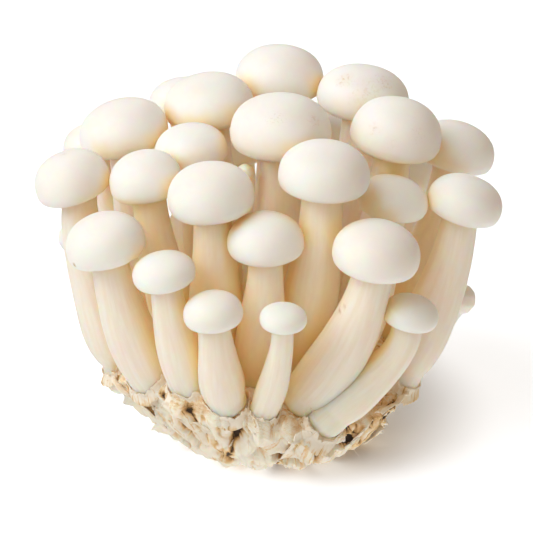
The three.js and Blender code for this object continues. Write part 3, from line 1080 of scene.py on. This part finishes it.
def laySheet(master, sheet, name, seed):
    piece = copyOf(master, name)
    raw = places(piece.data)
    laid, torn, grain = [], [], []
    path, half, side = sheet["path"], sheet["half"], sheet["side"]
    lift, peel = sheet["lift"] * sheetSet["stand"], sheet["peel"] * sheetSet["stand"]
    for x, y, _ in raw:
        share = (1 - y) / 2
        edge = noise.noise(Vector((seed * 3.1 + x * 2, share * 9, 0.3)))
        fray = noise.noise(Vector((seed * 1.7 + x * 7, share * 34, 4.3)))
        ends = 1 - 4 * share * (1 - share)
        reach = share + (0.05 * edge + 0.03 * noise.noise(Vector((x * 5, seed, 2)))) * ends
        turn, up = onPath(path, min(max(reach, 0), 1))
        nextTurn, nextUp = onPath(path, min(max(reach, 0) + 0.03, 1))
        lastTurn, lastUp = onPath(path, max(reach - 0.03, 0))
        radius = usualReach * math.sqrt(max(up / (rimHeight / mm), 0.3))
        goAcross, goUp = turnBetween(nextTurn, lastTurn) * radius, nextUp - lastUp
        size = math.hypot(goAcross, goUp) + 1e-9
        width = half * (0.3 + 0.7 * math.sin(math.pi * min(max(share * 0.92 + 0.06, 0), 1)) ** 0.6)
        width *= 1 + sheetSet["ragged"] * edge + 0.14 * fray
        offAcross, offUp = -goUp / size * x * width, goAcross / size * x * width
        turn += offAcross / radius
        up += offUp
        raisedEdge = max(x * side, 0) if side else abs(x)
        rise = -0.9 + 1.5 * (x * side + 1) / 2 if side else 0.35
        rise += lift * raisedEdge**2.2 + peel * max(1 - share * 3.2, 0) ** 2
        rise -= 1.1 * max(share * 3 - 2, 0) ** 2
        rise += sheetSet["wrinkle"] * noise.noise(Vector((x * 1.6 + seed, share * 7, 8))) + 0.12 * fray
        strand = noise.noise(Vector((x * half * 1.7 + 0.6 * edge, share * len(path) * 1.2, seed)))
        rise += sheetSet["fibre"] * strand
        up = max(up, 0.25)
        spot = blockSpot(turn, up * mm) + blockOutward(turn, up * mm) * ((rise - 0.35) * mm)
        spot.z = max(spot.z, 0.2 * mm)
        laid.append(spot)
        sunk = 0.25 if rise < -0.3 else 0
        torn.append(0.24 - 0.3 * raisedEdge**2 + 0.3 * edge + 0.2 * fray - 0.5 * strand + sunk)
        grain.append((offAcross * mm + seed, share * size * mm, up * mm))
    movePlaces(piece.data, laid)
    keepNumbers(piece, "torn", np.clip(torn, 0, 1.2))
    keepPlaces(piece, "grain", grain)
    return piece


def joinAll(pieces, name):
    pickOnly(pieces[0])
    for piece in pieces:
        piece.select_set(True)
    bpy.ops.object.join()
    whole = bpy.context.object
    whole.name = name
    whole.data.name = name
    return whole


def thickenAndFinish(piece, thickness):
    applyModifier(piece, "SOLIDIFY", thickness=thickness * mm, offset=0)
    pickOnly(piece)
    bpy.ops.object.shade_smooth()
    finishPiece(piece, "mycelium", thinMycelium)


def layAll(master, sheets, name, firstSeed):
    pieces = []
    for index, sheet in enumerate(sheets):
        pieces.append(laySheet(master, sheet, f"{name}.{index}", firstSeed + index))
    whole = joinAll(pieces, name)
    bpy.data.objects.remove(master)
    thickenAndFinish(whole, sheetSet["thickness"])


collarSet = {
    "sides": 84, "rows": 9, "thickness": 0.2, "clear": 0.12,
    "below": 2.0, "above": 0.35, "ragged": 0.9, "tongue": 1.0, "flare": 0.55,
    "underRim": 1.0, "probe": 0.4, "probes": 30,
}


def insideBlock(spot):
    return spot.z < 0 or blockTree.ray_cast(spot, Vector((0, 0, 1)))[0] is not None


def layCollar(master, node, name, seed):
    at, bottom, _ = stemRoutes[node]
    piece = copyOf(master, name)
    raw = places(piece.data)
    meets = {}
    laid, torn, grain = [], [], []
    for x, y, z in raw:
        angle = math.atan2(y, x)
        key = round(angle * 1000)
        share = z

        def onStem(height, extra):
            spot, heading, radius = at(height)
            side = Vector((1, 0, 0)) - heading * heading.x
            side.normalize()
            behind = heading.cross(side)
            return spot + (side * math.cos(angle) + behind * math.sin(angle)) * (radius + extra * mm)

        if key not in meets:
            height = bottom - 2 * mm
            for _ in range(collarSet["probes"]):
                spot = onStem(height, 0)
                rim = rimAt(math.atan2(spot.y, spot.x - rimShift))
                if not insideBlock(spot) and spot.z > rim - collarSet["underRim"] * mm:
                    break
                height += collarSet["probe"] * mm
            meets[key] = height
        tongue = noise.noise(Vector((math.cos(angle) * 2.2 + seed, math.sin(angle) * 2.2, seed * 0.7)))
        fray = noise.noise(Vector((math.cos(angle) * 11 + seed, math.sin(angle) * 11, 5)))
        top = collarSet["above"] + collarSet["tongue"] * max(tongue + 0.1, 0) * 2
        top += collarSet["ragged"] * (0.3 + fray) * 0.6
        up = -collarSet["below"] + (max(top, 0.15) + collarSet["below"]) * share
        wave = noise.noise(Vector((math.cos(angle) * 5, math.sin(angle) * 5 + seed, share * 2)))
        flare = collarSet["flare"] * max(up, 0) * (0.45 + 0.9 * wave) * 0.7 + (0.5 * max(-up, 0))
        spot = onStem(meets[key] + up * mm, collarSet["clear"] + 0.14 + flare)
        spot.z = max(spot.z, 0.2 * mm)
        laid.append(spot)
        torn.append(0.42 - 0.5 * share + 0.3 * tongue + 0.3 * fray)
        grain.append((angle * 6 * mm, share * 4 * mm, seed))
    movePlaces(piece.data, laid)
    keepNumbers(piece, "torn", np.clip(torn, 0, 1))
    keepPlaces(piece, "grain", grain)
    return piece


def makeCollarMaster():
    deselectAll()
    bpy.ops.mesh.primitive_circle_add(vertices=collarSet["sides"], radius=1, location=(0, 0, 0))
    master = bpy.context.object
    master.name = "collarMaster"
    bpy.ops.object.mode_set(mode="EDIT")
    bpy.ops.mesh.select_all(action="SELECT")
    for _ in range(collarSet["rows"]):
        bpy.ops.mesh.extrude_region_move(TRANSFORM_OT_translate={"value": (0, 0, 1 / collarSet["rows"])})
    bpy.ops.object.mode_set(mode="OBJECT")
    return master


def growCollars():
    master = makeCollarMaster()
    outer = [node for node in stemNodes if isOuter(node)]
    pieces = [layCollar(master, node, f"collar.{index}", index * 2.3) for index, node in enumerate(outer)]
    bpy.data.objects.remove(master)
    whole = joinAll(pieces, "mycelium_collars")
    editAll(whole)
    bpy.ops.mesh.normals_make_consistent(inside=False)
    thickenAndFinish(whole, collarSet["thickness"])


hairSet = {"count": 150, "thick": 0.08, "short": 1.0, "long": 3.4, "seed": 17}


def growHairs():  # loose fibres that stand off the torn side
    draw = random.Random(hairSet["seed"])
    deselectAll()
    bpy.ops.mesh.primitive_cone_add(vertices=4, radius1=1, radius2=0.25, depth=1, location=(0, 0, 0.5))
    master = bpy.context.object
    bpy.ops.object.transform_apply()
    editAll(master)
    bpy.ops.mesh.subdivide(number_cuts=1)
    bpy.ops.object.mode_set(mode="OBJECT")
    pieces = []
    for index in range(hairSet["count"]):
        turn = math.radians(draw.uniform(-180, 180))
        up = draw.choice((draw.uniform(17, 21), draw.uniform(2, 19)))
        root = blockSpot(turn, up * mm) - blockOutward(turn, up * mm) * (0.8 * mm)
        outward = blockOutward(turn, up * mm)
        around = Vector((-math.sin(turn), math.cos(turn), 0)) * draw.uniform(-1, 1)
        lean = outward * draw.uniform(0.2, 1.0) + around + Vector((0, 0, draw.uniform(-0.8, 0.9)))
        curl = Vector((draw.uniform(-1, 1), draw.uniform(-1, 1), draw.uniform(-1, 0.4)))
        length = draw.uniform(hairSet["short"], hairSet["long"]) * mm
        lean.normalize()
        side = lean.orthogonal().normalized()
        behind = lean.cross(side)
        piece = copyOf(master, f"hair.{index}")
        laid = []
        for x, y, z in places(piece.data):
            spot = root + lean * (z * length) + curl * (z * z * length * 0.45)
            spot += (side * x + behind * y) * (hairSet["thick"] * mm)
            spot.z = max(spot.z, 0.15 * mm)
            laid.append(spot)
        movePlaces(piece.data, laid)
        pieces.append(piece)
    bpy.data.objects.remove(master)
    whole = joinAll(pieces, "mycelium_fibres")
    keepNumbers(whole, "torn", np.full(len(whole.data.vertices), 0.12))
    keepPlaces(whole, "grain", places(whole.data))
    closeAndFaceOut(whole)
    finishPiece(whole, "mycelium", thinMycelium)


growBlock()
print("block of mycelium grown")
sheetMaster = makeSheetMaster(sheetSet["across"], sheetSet["along"])
layAll(sheetMaster, frontSheets + sideSheets(), "mycelium_sheets", 1)
scrapMaster = makeSheetMaster(sheetSet["scrapAcross"], sheetSet["scrapAlong"])
layAll(scrapMaster, scraps(), "mycelium_scraps", 200)
print("torn sheets and scraps laid")
growCollars()
growHairs()
print("collars and fibres grown")
